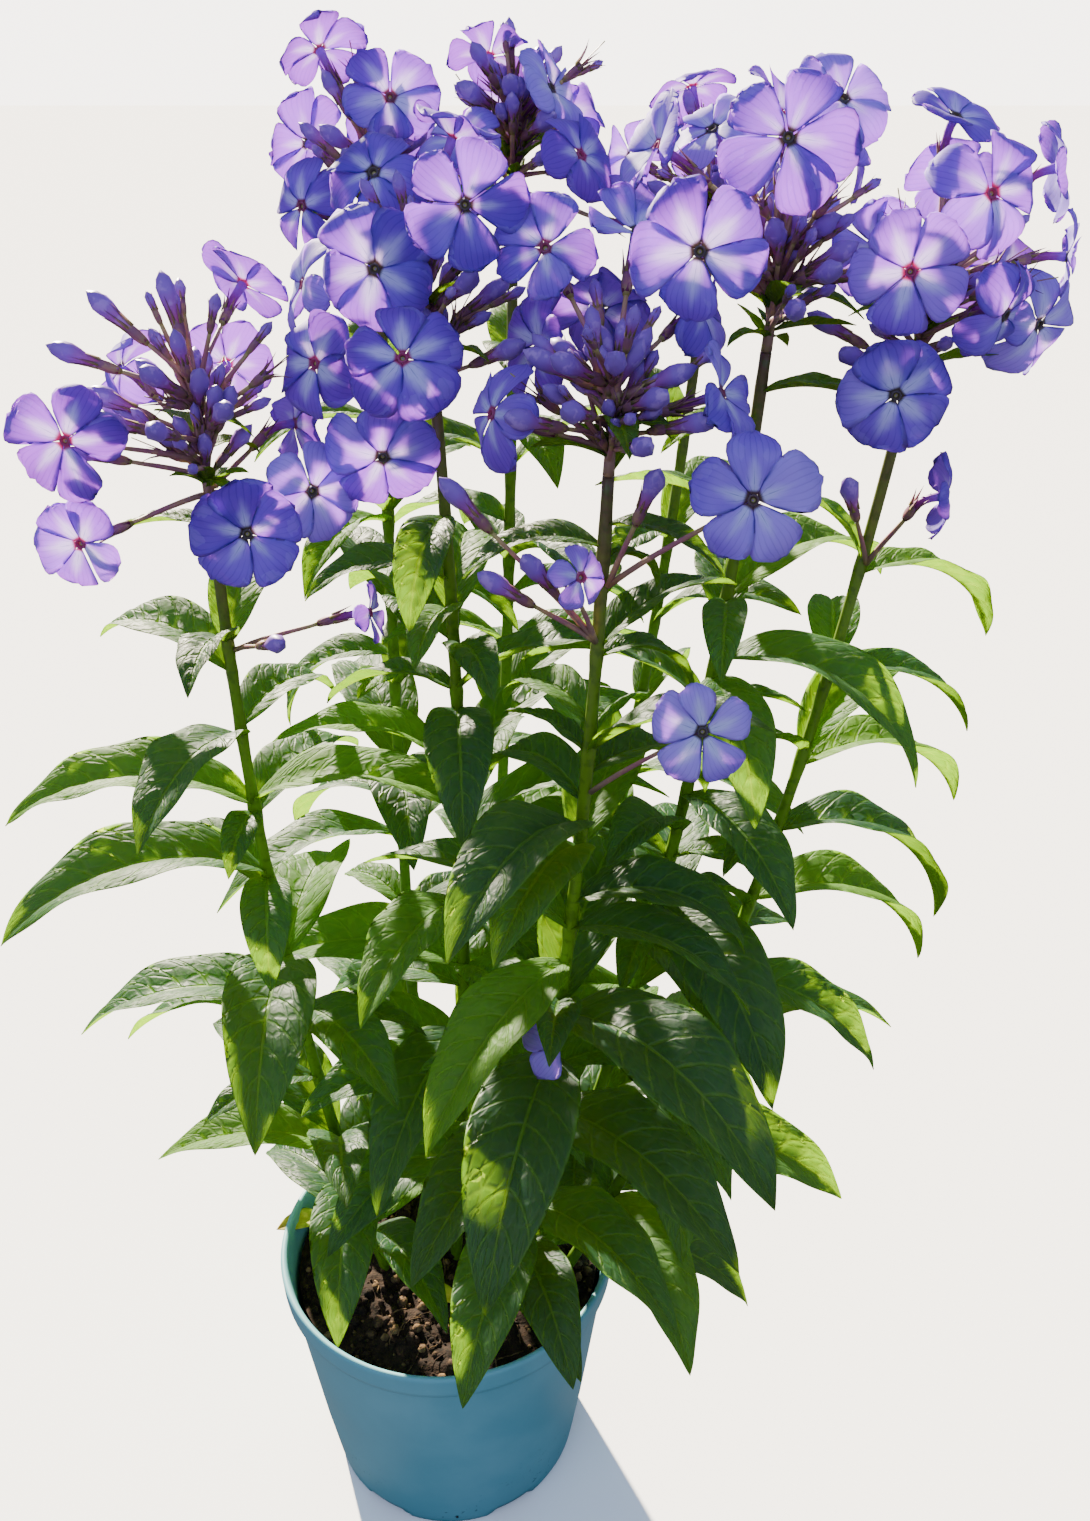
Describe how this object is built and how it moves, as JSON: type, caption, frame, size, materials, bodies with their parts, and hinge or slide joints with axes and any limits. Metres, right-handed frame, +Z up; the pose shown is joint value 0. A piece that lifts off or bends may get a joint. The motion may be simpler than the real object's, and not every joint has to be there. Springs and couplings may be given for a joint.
{
  "type": "phlox plant in a nursery pot",
  "caption": "Garden phlox with leafy upright stems and loose violet five-lobed flower heads, growing in a round plastic nursery pot of soil.",
  "frame": {"origin": "centre of the pot's flat base", "axes": "+Z up along the plant's height; -Y is the front, the side seen in the reference view; +X is to the right from the front"},
  "size_m": [0.3983, 0.2977, 0.6879],
  "materials": {
    "pot_plastic": "teal-blue moulded plastic, slightly worn, with dust low on the wall",
    "potting_soil": "moist dark peat with tan fibres",
    "leaf_green": "matt green leaves and stems, with a pale midrib and looped side veins",
    "petal_violet": "matt violet petals with a pale eye, and purple-brown tubes and stalks"
  },
  "bodies": {
    "root": {"pot": "pot_plastic", "soil": "potting_soil", "leafy_stem_left": "leaf_green", "leafy_stem_back_left": "leaf_green", "leafy_stem_mid_left": "leaf_green", "leafy_stem_back": "leaf_green", "leafy_stem_front": "leaf_green", "leafy_stem_right": "leaf_green", "leafy_stem_back_right": "leaf_green", "leafy_stem_far_right": "leaf_green", "flower_head_left": "petal_violet", "flower_head_back_left": "petal_violet", "flower_head_mid_left": "petal_violet", "flower_head_back": "petal_violet", "flower_head_front": "petal_violet", "flower_head_right": "petal_violet", "flower_head_back_right": "petal_violet", "flower_head_far_right": "petal_violet", "side_spray_left_low": "petal_violet", "side_spray_front_lone": "petal_violet", "side_spray_front_low": "petal_violet", "side_spray_front_left": "petal_violet", "side_spray_far_right_low": "petal_violet"}
  },
  "joints": []
}
